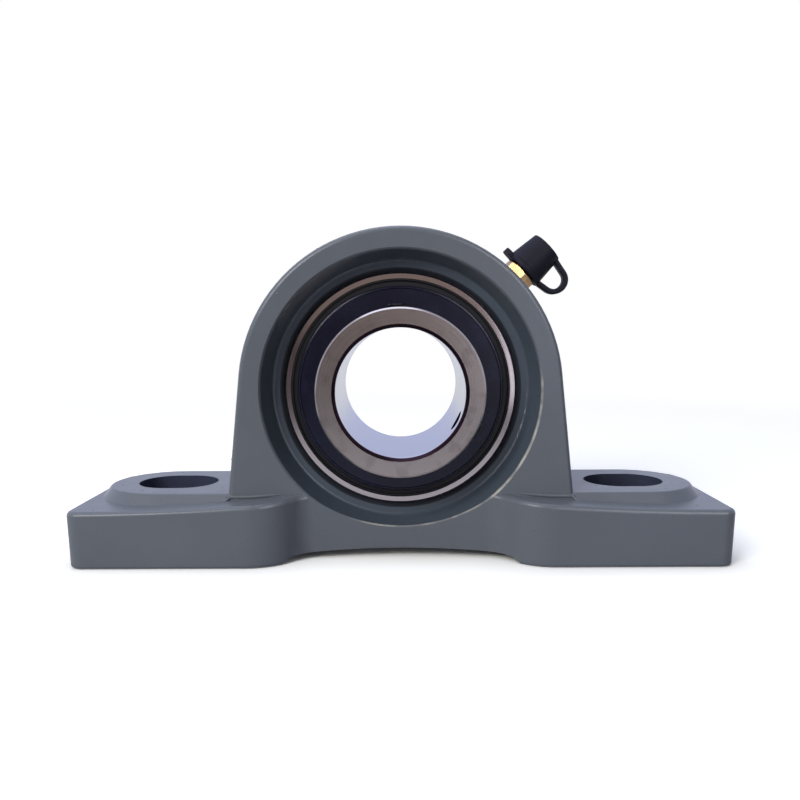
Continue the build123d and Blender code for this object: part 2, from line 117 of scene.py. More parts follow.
def add(tree, kind, inputs=None, **settings):
    """A node of this kind. An input takes a value, a socket, or a node by its first live output."""
    node = tree.nodes.new(kind)
    for name, value in settings.items():
        setattr(node, name, value)
    for socket, value in (inputs or {}).items():
        if isinstance(value, bpy.types.Node):
            value = next(output for output in value.outputs if output.enabled)
        if isinstance(value, bpy.types.NodeSocket):
            tree.links.new(value, node.inputs[socket])
        else:
            node.inputs[socket].default_value = value
    return node


def material(name):
    """An empty node material and its tree."""
    made = bpy.data.materials.new(name)
    made.use_nodes = True
    made.node_tree.nodes.clear()
    return made, made.node_tree


WHITE = srgb("#FFFFFF")
print("screen grey #808080 is", round(srgb("#808080")[0], 3), "in linear light")

# %% [markdown]
# ## Floor, background and lights
#
# A small metal part is set on white paper inside a tent of white cloth, with the room in front
# of it left dark. The paper and the cloth look pure white behind the part, and the same white
# shines in its steel, while the front of the steel mirrors the dark room. One broad lamp above
# and one at the left give the cast faces their shading at a plain level, and two at the right
# only shine in what is glossy. The paper is clear from below, and clear to what rests on it, so
# that the machined sole shows from underneath.

# %% Floor
WHITE_FROM, WHITE_TO = 0.22, 0.50  # metres from the part, where the paper turns pure white
DARK_FROM, DARK_TO = 0.12, 0.36  # the same where the steel stops mirroring white paper
BACKDROP = 0.08  # metres behind the shaft, from where steel mirrors white
LIFT = 0.42  # light that the paper gives back in the open
CORNER, CONTACT = 0.012, 0.0005  # metres from the paper, what dims it, and what rests on it
FLOOR_HALF, FLOOR_DROP = 6.0, 0.02 * MM

paper, tree = material("White seamless paper")
path = add(tree, "ShaderNodeLightPath").outputs
spot = add(tree, "ShaderNodeTexCoord").outputs["Object"]
reach = add(tree, "ShaderNodeVectorMath", {0: spot}, operation="LENGTH")
far = add(tree, "ShaderNodeMapRange",
          {"Value": reach, "From Min": WHITE_FROM, "From Max": WHITE_TO},
          interpolation_type="SMOOTHSTEP")
in_open = add(tree, "ShaderNodeAmbientOcclusion", {"Distance": CORNER}, samples=8).outputs["AO"]
lift = add(tree, "ShaderNodeMath", {0: in_open, 1: LIFT}, operation="MULTIPLY")
sheet = add(tree, "ShaderNodeBsdfDiffuse", {"Color": srgb("#F4F2EA")})
glow = add(tree, "ShaderNodeEmission", {"Color": WHITE, "Strength": lift})
near = add(tree, "ShaderNodeAddShader", {0: sheet, 1: glow})
white = add(tree, "ShaderNodeEmission", {"Color": WHITE})
shown = add(tree, "ShaderNodeMixShader", {0: far, 1: near, 2: white})
away = add(tree, "ShaderNodeMapRange",
           {"Value": reach, "From Min": DARK_FROM, "From Max": DARK_TO},
           interpolation_type="SMOOTHSTEP")
in_steel = add(tree, "ShaderNodeMix", {0: away, 6: srgb("#E2DEDE"), 7: srgb("#5E5456")},
               data_type="RGBA")
tone = add(tree, "ShaderNodeMix", {0: path["Is Glossy Ray"], 6: srgb("#A6A6A6"), 7: in_steel},
           data_type="RGBA")
clear = add(tree, "ShaderNodeBsdfTransparent", {"Color": WHITE})
touched = add(tree, "ShaderNodeAmbientOcclusion", {"Distance": CONTACT}, samples=4).outputs["AO"]
toned = add(tree, "ShaderNodeBsdfDiffuse", {"Color": tone})
lighting = add(tree, "ShaderNodeMixShader", {0: touched, 1: clear, 2: toned})
depth = add(tree, "ShaderNodeSeparateXYZ", {0: spot}).outputs["Y"]
behind = add(tree, "ShaderNodeMapRange", {"Value": depth, "From Min": 0.0, "From Max": BACKDROP})
shine = add(tree, "ShaderNodeMath",
            {0: path["Is Glossy Ray"], 1: path["Is Transmission Ray"]}, operation="MAXIMUM")
shine = add(tree, "ShaderNodeMath", {0: shine, 1: behind}, operation="MULTIPLY")
seen = add(tree, "ShaderNodeMath", {0: path["Is Camera Ray"], 1: shine}, operation="MAXIMUM")
from_above = add(tree, "ShaderNodeMixShader", {0: seen, 1: lighting, 2: shown})
below = add(tree, "ShaderNodeNewGeometry").outputs["Backfacing"]
surface = add(tree, "ShaderNodeMixShader", {0: below, 1: from_above, 2: clear})
add(tree, "ShaderNodeOutputMaterial", {"Surface": surface})

floor_mesh = bpy.data.meshes.new("floor")
floor_mesh.from_pydata([(x * FLOOR_HALF, y * FLOOR_HALF, -FLOOR_DROP)
                        for x, y in ((-1, -1), (1, -1), (1, 1), (-1, 1))], [], [(0, 1, 2, 3)])
floor_mesh.materials.append(paper)
put_in_scene("floor", floor_mesh)
print("floor, metres across:", 2 * FLOOR_HALF)

# %% World
ROOM_END, TENT_START = -0.6, 0.1  # how far to the back a direction points
ROOM_LIGHT, TENT_LIGHT, FILL_LIGHT = 0.32, 1.0, 0.28

world = bpy.data.worlds.new("light_tent")
bpy.context.scene.world = world
world.use_nodes = True
tree = world.node_tree
tree.nodes.clear()
path = add(tree, "ShaderNodeLightPath").outputs
direction = add(tree, "ShaderNodeTexCoord").outputs["Generated"]
to_back = add(tree, "ShaderNodeSeparateXYZ", {0: direction}).outputs["Y"]
behind = add(tree, "ShaderNodeMapRange",
             {"Value": to_back, "From Min": ROOM_END, "From Max": TENT_START},
             interpolation_type="SMOOTHSTEP")
strength = add(tree, "ShaderNodeMapRange",
               {"Value": behind, "To Min": ROOM_LIGHT, "To Max": TENT_LIGHT})
tint = add(tree, "ShaderNodeMix", {0: behind, 6: srgb("#FFE6E0"), 7: srgb("#DFE4FF")},
           data_type="RGBA")
mirrored = add(tree, "ShaderNodeBackground", {"Color": tint, "Strength": strength})
lit = add(tree, "ShaderNodeBackground", {"Color": srgb("#DCE4FF"), "Strength": FILL_LIGHT})
white = add(tree, "ShaderNodeBackground", {"Color": WHITE})
shine = add(tree, "ShaderNodeMath",
            {0: path["Is Glossy Ray"], 1: path["Is Transmission Ray"]}, operation="MAXIMUM")
bounce = add(tree, "ShaderNodeMixShader", {0: shine, 1: lit, 2: mirrored})
all_rays = add(tree, "ShaderNodeMixShader", {0: path["Is Camera Ray"], 1: bounce, 2: white})
add(tree, "ShaderNodeOutputWorld", {"Surface": all_rays})
print(world.name, "nodes:", len(tree.nodes))

# %% Lamps
MIDDLE = (0, 0, 0.04)


def softbox(name, place, size, power, aim=MIDDLE, tint="#FFFFFF", only_shine=False):
    """A rectangular cloth lamp, with its place and size in metres and its power in watts."""
    lamp = bpy.data.lights.new(name, "AREA")
    lamp.shape, lamp.energy, lamp.color = "RECTANGLE", power, srgb(tint)[:3]
    lamp.size, lamp.size_y = size
    holder = put_in_scene(name, lamp)
    holder.location = place
    holder.rotation_euler = (Vector(aim) - Vector(place)).to_track_quat("-Z", "Y").to_euler()
    holder.visible_camera = False
    holder.visible_diffuse = not only_shine


softbox("key_softbox", (-0.60, -0.79, 0.61), (0.45, 0.45), power=9.2)
softbox("top_softbox", (-0.10, 0.05, 0.85), (0.8, 0.6), power=3.1, tint="#DCE6FF")
softbox("right_glint", (0.55, -0.72, 0.55), (0.5, 0.5), power=4.0, only_shine=True)
softbox("right_card", (0.228, -0.38, 0.12), (0.30, 0.40), power=0.75,
        aim=(0.228, 0, 0.12), tint="#EFEFFF", only_shine=True)

# %% [markdown]
# ## Finishes
#
# Each finish starts from what the real one is and how its surface was made. Turned and ground
# pieces carry fine rings round the shaft, and the casting has machined places at known distances
# from it. Such patterns need to know at each point how far it is from the shaft axis, where it
# is along it, and how high. That comes from the object's own coordinates, in millimetres, so
# that a pattern stays put when its piece moves.

# %% Places and patterns round the shaft
SHAFT_HEIGHT = 42.9  # mm, above the base


def round_shaft(tree):
    """Sockets at a shaded point, in mm from the middle of the insert: place, radius, X, Y, Z."""
    coords = add(tree, "ShaderNodeTexCoord").outputs["Object"]
    place = add(tree, "ShaderNodeMapping", {"Vector": coords, "Location": (0, 0, -SHAFT_HEIGHT),
                                            "Scale": (1 / MM, 1 / MM, 1 / MM)}).outputs[0]
    flat = add(tree, "ShaderNodeVectorMath", {0: place, 1: (1, 0, 1)}, operation="MULTIPLY")
    radius = add(tree, "ShaderNodeVectorMath", {0: flat}, operation="LENGTH")
    return place, radius, *add(tree, "ShaderNodeSeparateXYZ", {0: place}).outputs


def band(tree, value, low, high, soft):
    """1 where the value is between low and high, falling to 0 over a soft edge."""
    rise = add(tree, "ShaderNodeMapRange",
               {"Value": value, "From Min": low - soft, "From Max": low + soft})
    fall = add(tree, "ShaderNodeMapRange", {"Value": value, "From Min": high - soft,
                                            "From Max": high + soft, "To Min": 1.0, "To Max": 0.0})
    return add(tree, "ShaderNodeMath", {0: rise, 1: fall}, operation="MULTIPLY")


def mottled(tree, place, size, first, second):
    """Noise with spots about this many mm across, and what it gives between two hex colours."""
    spots = add(tree, "ShaderNodeTexNoise", {"Vector": place, "Scale": 1 / size, "Detail": 3.0})
    return spots, add(tree, "ShaderNodeMix", {0: spots, 6: srgb(first), 7: srgb(second)},
                      data_type="RGBA")


print("shaft height, mm:", SHAFT_HEIGHT)

# %% [markdown]
# ### Painted cast iron
#
# The housing is grey iron cast in sand, blasted and sprayed with satin enamel, and machined where
# the insert sits and where it stands. The eye gets a soft sheen over a faint grain of sand and a
# slow waviness left by the mould. The paint is darkened in the recess and in the cored bolt slots
# as painted shade. The seat is bare metal, and the chamfer of its rim is painted dark as the shade
# in the gap beside the insert. A pale line on the edge of the recess's mouth, towards the lower
# right, is a painted highlight.

# %% Places on the casting
SEAT_REACH = 31.15  # mm from the shaft axis, all that was bored
SEAT_HALF = 7.9  # mm along the shaft, up to the chamfer of the seat
CONE_START, CONE_SLOPE = 30.33, tan(radians(17))  # wall of the recess, a cone opening outwards
RECESS_DEPTH = 15.7  # mm along the shaft, up to the front face
MOUTH_EDGE, MOUTH_DEPTH = (0.07, 0.48), 13.8  # mm past the cone, mm from the middle plane
# Where the pale painted highlight on the mouth's edge lies round the shaft.
MOUTH_HIGHLIGHT_TURN = (-1.85, 0.10)  # radians round the shaft, from +X
BOLT_X, SLOT_STRAIGHT, SLOT_RADIUS = 60.5, 2.0, 8.55
SOLE_HEIGHT = 0.15  # mm above the base, all that was milled

painted_iron, tree = material("Painted cast iron")
place, radius, x, y, z = round_shaft(tree)
depth = add(tree, "ShaderNodeMath", {0: y}, operation="ABSOLUTE")
cone = add(tree, "ShaderNodeMath", {0: depth, 1: CONE_SLOPE, 2: CONE_START},
           operation="MULTIPLY_ADD")
past_cone = add(tree, "ShaderNodeMath", {0: radius, 1: cone}, operation="SUBTRACT")
# The recess's paint is made darker and bluer here: painted shade.
recess_shade = add(tree, "ShaderNodeMath", {0: band(tree, past_cone, -CONE_START, 0.15, 0.05),
                                         1: band(tree, depth, -1.0, RECESS_DEPTH, 0.25)},
                operation="MULTIPLY")

# A slot is all that lies within its radius of a short straight line through the bolt's middle.
past_straight = add(tree, "ShaderNodeMath", {0: x}, operation="ABSOLUTE")
for operation, value in (("SUBTRACT", BOLT_X), ("ABSOLUTE", 0.0), ("SUBTRACT", SLOT_STRAIGHT),
                         ("MAXIMUM", 0.0)):
    past_straight = add(tree, "ShaderNodeMath", {0: past_straight, 1: value}, operation=operation)
from_slot = add(tree, "ShaderNodeCombineXYZ", {0: past_straight, 1: y})
from_slot = add(tree, "ShaderNodeVectorMath", {0: from_slot}, operation="LENGTH")
# Inside the slots the paint is made darker and bluer: painted shade.
slot_shade = band(tree, from_slot, -1.0, SLOT_RADIUS, 0.05)

# A pale painted highlight lies just past the cone, near the front, over a part of a turn, and in
# patches.
mouth_highlight = add(tree, "ShaderNodeMath", {0: depth, 1: MOUTH_DEPTH}, operation="GREATER_THAN")
turned = add(tree, "ShaderNodeMath", {0: z, 1: x}, operation="ARCTAN2")
highlight_patches = add(tree, "ShaderNodeTexNoise", {"Vector": place, "Scale": 1 / 5, "Detail": 2.0})
highlight_patches = add(tree, "ShaderNodeMapRange", {"Value": highlight_patches, "From Min": 0.40, "From Max": 0.58,
                                        "To Min": 0.25, "To Max": 0.85})
for share in (band(tree, past_cone, *MOUTH_EDGE, 0.05), band(tree, turned, *MOUTH_HIGHLIGHT_TURN, 0.12),
              highlight_patches):
    mouth_highlight = add(tree, "ShaderNodeMath", {0: mouth_highlight, 1: share}, operation="MULTIPLY")
# All that was bored. Past the seat, on the chamfer of its rim, the paint is made dark: painted
# shade in the gap beside the insert.
bored = band(tree, radius, -1.0, SEAT_REACH, 0.05)
milled = band(tree, z, -SHAFT_HEIGHT - 1.0, SOLE_HEIGHT - SHAFT_HEIGHT, 0.1)
seat = add(tree, "ShaderNodeMath", {0: bored, 1: band(tree, depth, -1.0, SEAT_HALF, 0.05)},
           operation="MULTIPLY")
bare = add(tree, "ShaderNodeMath", {0: seat, 1: milled}, operation="MAXIMUM")
print(painted_iron.name, "nodes for its places:", len(tree.nodes))

# %% Paint and bare iron
PORE_SIZE, PORE_LEVEL, PORE_SHARE = 0.8, 0.27, 0.25
WAVES = ((9, 0.10), (2.4, 0.032), (0.7, 0.015))  # mm across and deep: mould, sand, spray

paint = mottled(tree, place, 22, "#5F6369", "#6A6F75")[1]
dots = add(tree, "ShaderNodeTexNoise", {"Vector": place, "Scale": 1 / PORE_SIZE, "Detail": 1.0})
pores = add(tree, "ShaderNodeMath", {0: band(tree, dots, 0.0, PORE_LEVEL, 0.04), 1: PORE_SHARE},
            operation="MULTIPLY")
# Pores are the coat's own. The recess, the slots and the bored rim get painted shade, and the
# mouth's edge gets a painted highlight.
for where, shade in ((pores, "#3C4048"), (recess_shade, "#48515A"), (slot_shade, "#3B3F50"),
                     (mouth_highlight, "#BEBAAD"), (bored, "#22262D")):
    paint = add(tree, "ShaderNodeMix", {0: where, 6: paint, 7: srgb(shade)}, data_type="RGBA")
iron = mottled(tree, place, 0.6, "#85827E", "#9A9791")[1]
colour = add(tree, "ShaderNodeMix", {0: bare, 6: paint, 7: iron}, data_type="RGBA")
skin = None
for size, height in WAVES:
    waves = add(tree, "ShaderNodeTexNoise", {"Vector": place, "Scale": 1 / size, "Detail": 1.5})
    skin = add(tree, "ShaderNodeBump", {"Height": waves, "Distance": height * MM,
                                        **({"Normal": skin} if skin else {})})
flow = add(tree, "ShaderNodeTexNoise", {"Vector": place, "Scale": 1 / 5, "Detail": 3.0})
gloss = add(tree, "ShaderNodeMapRange", {"Value": flow, "To Min": 0.26, "To Max": 0.36})
shader = add(tree, "ShaderNodeBsdfPrincipled",
             {"Base Color": colour, "Metallic": bare, "Roughness": gloss,
              "Specular IOR Level": 0.36, "Normal": skin})
add(tree, "ShaderNodeOutputMaterial", {"Surface": shader})
print(painted_iron.name, "nodes in all:", len(tree.nodes))

# %% [markdown]
# ### Ground bearing steel
#
# Both rings are hard chrome steel, turned, hardened and ground. Grinding leaves rings round the
# shaft that are far too fine to see, and turning leaves coarser ones on the faces. They are drawn
# about 0.2 mm apart, as coarse as they need to be to show. The bore is painted bluer, a painted
# reflection of the white tent behind it, and its chamfer is painted nearly black as painted shade.

# %% Ground bearing steel
BORE_REACH, MOUTH_REACH = 15.95, 16.75  # mm from the shaft axis
OUTER_RING = (24.0, 40.0)
LINES_PER_MM = 5.0
WANDER = 0.05  # how far the rings drift from true circles
STAIN_SIZE, STAIN_LEVEL, STAIN_SHARE = 3.5, 0.42, 0.45

ground_steel, tree = material("Ground bearing steel")
place, radius, _, y, _ = round_shaft(tree)
rings = add(tree, "ShaderNodeCombineXYZ", {0: radius, 1: y})
rings = add(tree, "ShaderNodeVectorMath", {0: rings, "Scale": LINES_PER_MM}, operation="SCALE")
drift = add(tree, "ShaderNodeVectorMath", {0: place, 1: (WANDER, WANDER, WANDER), 2: rings},
            operation="MULTIPLY_ADD")
lines, colour = mottled(tree, drift, 1.0, "#A09894", "#B3ADA8")
wiped = add(tree, "ShaderNodeTexNoise", {"Vector": place, "Scale": 1 / STAIN_SIZE, "Detail": 3.0})
stain = add(tree, "ShaderNodeMath", {0: band(tree, wiped, 0.0, STAIN_LEVEL, 0.06),
                                     1: STAIN_SHARE}, operation="MULTIPLY")
outer = band(tree, radius, *OUTER_RING, 0.2)
# The bore is made bluer: a painted reflection of the white tent behind.
bore_reflection_tint = band(tree, radius, 0.0, BORE_REACH, 0.02)
# The bore's chamfer is made nearly black: painted shade.
chamfer_shade = band(tree, radius, BORE_REACH, MOUTH_REACH, 0.03)
for where, shade in ((stain, "#8B8581"), (outer, "#B9B1AF"), (bore_reflection_tint, "#A3A7BA"),
                     (chamfer_shade, "#2A1D24")):
    colour = add(tree, "ShaderNodeMix", {0: where, 6: colour, 7: srgb(shade)}, data_type="RGBA")
gloss = add(tree, "ShaderNodeMapRange", {"Value": lines, "To Min": 0.20, "To Max": 0.30})
gloss = add(tree, "ShaderNodeMapRange", {"Value": outer, "To Min": gloss, "To Max": 0.13})
marks = add(tree, "ShaderNodeBump", {"Height": lines, "Distance": 0.004 * MM})
shader = add(tree, "ShaderNodeBsdfPrincipled",
             {"Base Color": colour, "Metallic": 1.0, "Roughness": gloss, "Normal": marks})
add(tree, "ShaderNodeOutputMaterial", {"Surface": shader})
print(ground_steel.name, "nodes:", len(tree.nodes))

# %% [markdown]
# ### Black phosphated sheet steel
#
# Slingers and seal plates are pressed from thin strip and phosphated against rust, then dipped in
# oil. The coat is nearly black with a blue cast, and the oil gives it a close, dark gloss. The seal
# plates sit deep beside the slingers; there the surface is made duller, and the colour is painted
# blacker as painted shade.

# %% Black phosphated sheet steel
PLATE_RIM = (26.7, 29.0)  # mm from the shaft axis, past the slinger
SPIN_LINES_PER_MM = 3.0

phosphated_steel, tree = material("Black phosphated sheet steel")
place, radius, *_ = round_shaft(tree)
mist, colour = mottled(tree, place, 4, "#0A0C1B", "#161935")
gloss = add(tree, "ShaderNodeMapRange", {"Value": mist, "To Min": 0.20, "To Max": 0.32})
# The seal plates' rim, deep beside the slingers, is painted blacker: painted shade.
deep = band(tree, radius, *PLATE_RIM, 0.05)
colour = add(tree, "ShaderNodeMix", {0: deep, 6: colour, 7: srgb("#04050C")}, data_type="RGBA")
gloss = add(tree, "ShaderNodeMapRange", {"Value": deep, "To Min": gloss, "To Max": 0.60})
across = add(tree, "ShaderNodeCombineXYZ", {0: radius})
spun = add(tree, "ShaderNodeTexNoise",
           {"Vector": across, "Scale": SPIN_LINES_PER_MM, "Detail": 3.0})
skin = add(tree, "ShaderNodeBump", {"Height": spun, "Distance": 0.006 * MM})
shader = add(tree, "ShaderNodeBsdfPrincipled",
             {"Base Color": colour, "Metallic": 0.35, "Roughness": gloss, "Normal": skin})
add(tree, "ShaderNodeOutputMaterial", {"Surface": shader})
print(phosphated_steel.name, "nodes:", len(tree.nodes))

# %% [markdown]
# ### Nitrile rubber
#
# The seal's rubber is moulded on its plate and cured. It is matt charcoal, with a grain left by
# the mould and a little bloom.

# %% Nitrile rubber
nitrile_rubber, tree = material("Nitrile rubber")
place = round_shaft(tree)[0]
bloom, colour = mottled(tree, place, 1.6, "#05060D", "#0A0B14")
gloss = add(tree, "ShaderNodeMapRange", {"Value": bloom, "To Min": 0.48, "To Max": 0.62})
grain = add(tree, "ShaderNodeTexNoise", {"Vector": place, "Scale": 1 / 0.35, "Detail": 3.0})
skin = add(tree, "ShaderNodeBump", {"Height": grain, "Distance": 0.006 * MM})
shader = add(tree, "ShaderNodeBsdfPrincipled",
             {"Base Color": colour, "Roughness": gloss, "Specular IOR Level": 0.3,
              "Normal": skin})
add(tree, "ShaderNodeOutputMaterial", {"Surface": shader})
print(nitrile_rubber.name, "nodes:", len(tree.nodes))

# %% [markdown]
# ### Balls, cage, spring and set screws
#
# Balls are chrome steel lapped to a mirror. The cage is pressed from low-carbon strip, which
# keeps the faint grain of rolling and a soft shine. The spring in the fitting is drawn stainless
# wire. Set screws are alloy steel, hardened and blackened in a hot salt bath, and the thin black
# skin wears to grey. All four show plain metal, so they differ only in colour, roughness and the
# size, depth and direction of their marks, and one recipe makes them.

# %% Balls, cage, spring and set screws
def plain_metal(name, colours, roughness, mark_size, mark_depth, grain=(1, 1, 1), metallic=1.0):
    """Metal with faint marks of this size and depth in mm, drawn out where grain is below 1."""
    made, tree = material(name)
    drawn = add(tree, "ShaderNodeVectorMath", {0: round_shaft(tree)[0], 1: grain},
                operation="MULTIPLY")
    marks, colour = mottled(tree, drawn, mark_size, *colours)
    gloss = add(tree, "ShaderNodeMapRange",
                {"Value": marks, "To Min": roughness[0], "To Max": roughness[1]})
    skin = add(tree, "ShaderNodeBump", {"Height": marks, "Distance": mark_depth * MM})
    shader = add(tree, "ShaderNodeBsdfPrincipled",
                 {"Base Color": colour, "Metallic": metallic, "Roughness": gloss, "Normal": skin})
    add(tree, "ShaderNodeOutputMaterial", {"Surface": shader})
    print(made.name, "nodes:", len(tree.nodes))
    return made


lapped_steel = plain_metal("Lapped chrome steel", ("#C2C2C4", "#CDCDCF"), (0.05, 0.09), 2.0,
                           0.0005)
pressed_strip = plain_metal("Pressed steel strip", ("#98958F", "#B2AFA9"), (0.26, 0.38), 0.5,
                            0.005, grain=(1, 0.15, 1))
spring_wire = plain_metal("Drawn spring wire", ("#8A8A8C", "#A0A0A2"), (0.18, 0.30), 0.3, 0.002)
black_oxide = plain_metal("Black oxide screw steel", ("#141417", "#2B2B30"), (0.28, 0.42), 0.5,
                          0.004, metallic=0.8)

# %% [markdown]
# ### Yellow passivated zinc
#
# The grease fitting is steel, plated with zinc and passivated. The film is thin enough to tint
# the light, so it drifts from pale gold to a pinkish brown over a few millimetres.

# %% Yellow passivated zinc
FILM_SIZE, CRYSTAL_SIZE = 2.6, 0.7  # mm

yellow_zinc, tree = material("Yellow passivated zinc plate")
place = round_shaft(tree)[0]
film = add(tree, "ShaderNodeTexNoise", {"Vector": place, "Scale": 1 / FILM_SIZE, "Detail": 3.0})
thick = band(tree, film, 0.50, 1.0, 0.08)
colour = add(tree, "ShaderNodeMix", {0: thick, 6: srgb("#CBB180"), 7: srgb("#BA976C")},
             data_type="RGBA")
crystals = add(tree, "ShaderNodeTexNoise",
               {"Vector": place, "Scale": 1 / CRYSTAL_SIZE, "Detail": 3.0})
gloss = add(tree, "ShaderNodeMapRange", {"Value": crystals, "To Min": 0.27, "To Max": 0.40})
skin = add(tree, "ShaderNodeBump", {"Height": crystals, "Distance": 0.006 * MM})
shader = add(tree, "ShaderNodeBsdfPrincipled",
             {"Base Color": colour, "Metallic": 1.0, "Roughness": gloss, "Normal": skin})
add(tree, "ShaderNodeOutputMaterial", {"Surface": shader})
print(yellow_zinc.name, "nodes:", len(tree.nodes))

# %% [markdown]
# ### Moulded polyethylene
#
# The dust cap and its tether are injection moulded in soft black polyethylene. It has a waxy,
# low sheen, a fine spark-eroded grain and slow sink marks.

# %% Moulded polyethylene
SINK_SIZE, SINK_DEPTH, SPARK_SIZE, SPARK_DEPTH = 3.5, 0.03, 0.45, 0.008  # mm

polyethylene, tree = material("Moulded polyethylene")
place = round_shaft(tree)[0]
grain, colour = mottled(tree, place, SPARK_SIZE, "#0B0A17", "#121124")
gloss = add(tree, "ShaderNodeMapRange", {"Value": grain, "To Min": 0.50, "To Max": 0.62})
sinks = add(tree, "ShaderNodeTexNoise", {"Vector": place, "Scale": 1 / SINK_SIZE, "Detail": 1.0})
sunk = add(tree, "ShaderNodeBump", {"Height": sinks, "Distance": SINK_DEPTH * MM})
skin = add(tree, "ShaderNodeBump",
           {"Height": grain, "Distance": SPARK_DEPTH * MM, "Normal": sunk})
shader = add(tree, "ShaderNodeBsdfPrincipled",
             {"Base Color": colour, "Roughness": gloss, "Specular IOR Level": 0.18,
              "Normal": skin})
add(tree, "ShaderNodeOutputMaterial", {"Surface": shader})
print(polyethylene.name, "nodes:", len(tree.nodes))

# %% Finishes on the assembled solids
finishes = {
    "housing_iron": painted_iron, "ring_steel": ground_steel, "ball_steel": lapped_steel,
    "cage_steel": pressed_strip, "seal_steel": phosphated_steel, "seal_rubber": nitrile_rubber,
    "screw_steel": black_oxide, "fitting_brass": yellow_zinc, "spring_steel": spring_wire,
    "cap_plastic": polyethylene,
}
for entry in frame["record"]["subparts"]:
    surfaces = nodes[entry["node"]].data.materials
    surfaces.clear()
    surfaces.append(finishes[entry["material_slot"]])
print("finishes:", len(finishes))

# %% [markdown]
# ## Growing pieces with Geometry Nodes
#
# Some shapes follow a rule: a thread is a ridge along a helix, a mould seam is a ridge along the
# joint of the mould, and a tether is a strap along its own route. A tree of Geometry Nodes keeps
# such a rule and asks only for the sizes. The tree runs once for each piece, and its result is
# kept as a plain mesh.

# %% Trees, routes and their results
GEOMETRY, NUMBER, COUNT, VECTOR, OBJECT, FINISH = (
    f"NodeSocket{kind}" for kind in ("Geometry", "Float", "Int", "Vector", "Object", "Material"))
SHARP_CORNER = radians(40)


def new_tree(name, sockets):
    """An empty Geometry Nodes tree with these inputs, and the outputs of its input node."""
    tree = bpy.data.node_groups.new(name, "GeometryNodeTree")
    for label, kind in sockets.items():
        tree.interface.new_socket(label, in_out="INPUT", socket_type=kind)
    tree.interface.new_socket("Mesh", in_out="OUTPUT", socket_type=GEOMETRY)
    return tree, add(tree, "NodeGroupInput").outputs


def close_tree(tree, geometry, finish):
    """Ends a tree: real faces, one finish."""
    real = add(tree, "GeometryNodeRealizeInstances", {0: geometry})
    dressed = add(tree, "GeometryNodeSetMaterial", {"Geometry": real, "Material": finish})
    add(tree, "NodeGroupOutput", {0: dressed})
    print(tree.name, "nodes:", len(tree.nodes))


def wire(routes, closed=False):
    """A mesh of edges along routes, each a list of points in metres."""
    points = [tuple(p) for route in routes for p in route]
    edges, first = [], 0
    for route in routes:
        last = first + len(route) - 1
        edges += [(i, i + 1) for i in range(first, last)]
        if closed:
            edges.append((last, first))
        first = last + 1
    mesh = bpy.data.meshes.new("route")
    mesh.from_pydata(points, edges, [])
    return mesh


def grow(name, tree, start, sizes):
    """Runs the tree on a start mesh with these sizes and keeps the plain mesh it makes."""
    seed = put_in_scene("seed", start)
    grower = seed.modifiers.new("grow", "NODES")
    grower.node_group = tree
    for item in tree.interface.items_tree:
        if item.in_out == "INPUT" and item.name in sizes:
            grower[item.identifier] = sizes[item.name]
    grown = seed.evaluated_get(bpy.context.evaluated_depsgraph_get())
    mesh = bpy.data.meshes.new_from_object(grown)
    bpy.data.objects.remove(seed)
    mesh.name = name
    mesh.polygons.foreach_set("use_smooth", [True] * len(mesh.polygons))
    mesh.set_sharp_from_angle(angle=SHARP_CORNER)
    print(name, "faces:", len(mesh.polygons))
    return put_in_scene(name, mesh)


# %% [markdown]
# ### A strip along a route
#
# One tree serves every ridge and strap here. It lays a four-sided section along a route, rounds
# the section's corners, and lets the ends fade. The section stands square to a direction that is
# given, so it never twists.

# %% Strip tree
SIZES = {"Square to": VECTOR, "Root width": NUMBER, "Top width": NUMBER, "Height": NUMBER,
         "Corner radius": NUMBER, "Fade": NUMBER, "Finish": FINISH}
END_SHARE = 0.15  # what is left of the section at an end that fades

strip, given = new_tree("strip_along_route", {"Route": GEOMETRY, **SIZES})
curve = add(strip, "GeometryNodeMeshToCurve", {0: given["Route"]})
upright = add(strip, "GeometryNodeSetCurveNormal", {0: curve, "Normal": given["Square to"]},
              mode="FREE")
section = add(strip, "GeometryNodeCurvePrimitiveQuadrilateral",
              {"Height": given["Height"], "Bottom Width": given["Root width"],
               "Top Width": given["Top width"], "Offset": 0.0}, mode="TRAPEZOID")
soft = add(strip, "GeometryNodeFilletCurve",
           {"Curve": section, "Count": 3, "Radius": given["Corner radius"]}, mode="POLY")
along = add(strip, "GeometryNodeSplineParameter").outputs["Factor"]
from_end = add(strip, "ShaderNodeMath", {0: 1.0, 1: along}, operation="SUBTRACT")
nearest = add(strip, "ShaderNodeMath", {0: along, 1: from_end}, operation="MINIMUM")
fading = add(strip, "ShaderNodeMapRange",
             {"Value": nearest, "From Max": given["Fade"], "To Min": END_SHARE})
no_fade = add(strip, "ShaderNodeMath", {0: given["Fade"], 1: 1e-6}, operation="LESS_THAN")
share = add(strip, "ShaderNodeMath", {0: fading, 1: no_fade}, operation="MAXIMUM")
body = add(strip, "GeometryNodeCurveToMesh",
           {"Curve": upright, "Profile Curve": soft, "Scale": share, "Fill Caps": True})
close_tree(strip, body, given["Finish"])


def strip_sizes(square_to, finish, width, height, corner, top=None, fade=0.0):
    """Inputs for the strip's tree, from sizes in mm. The top is as wide as the root by default."""
    return {"Square to": square_to, "Root width": width * MM, "Top width": (top or width) * MM,
            "Height": height * MM, "Corner radius": corner * MM, "Fade": fade, "Finish": finish}


# %% [markdown]
# ## The mould seam
#
# The housing is cast between two halves of a sand mould that meet in the middle of its width.
# Iron creeps into the joint and leaves a low fin, which is ground down and painted over. Its
# route is the outline of the casting: a ray is sent inwards from each point of a wider arc, and
# stops where it meets the iron. The seam is left out round the spot face of the fitting.

# %% Tree for a ridge on the casting
RAY_LENGTH = 0.1  # metres

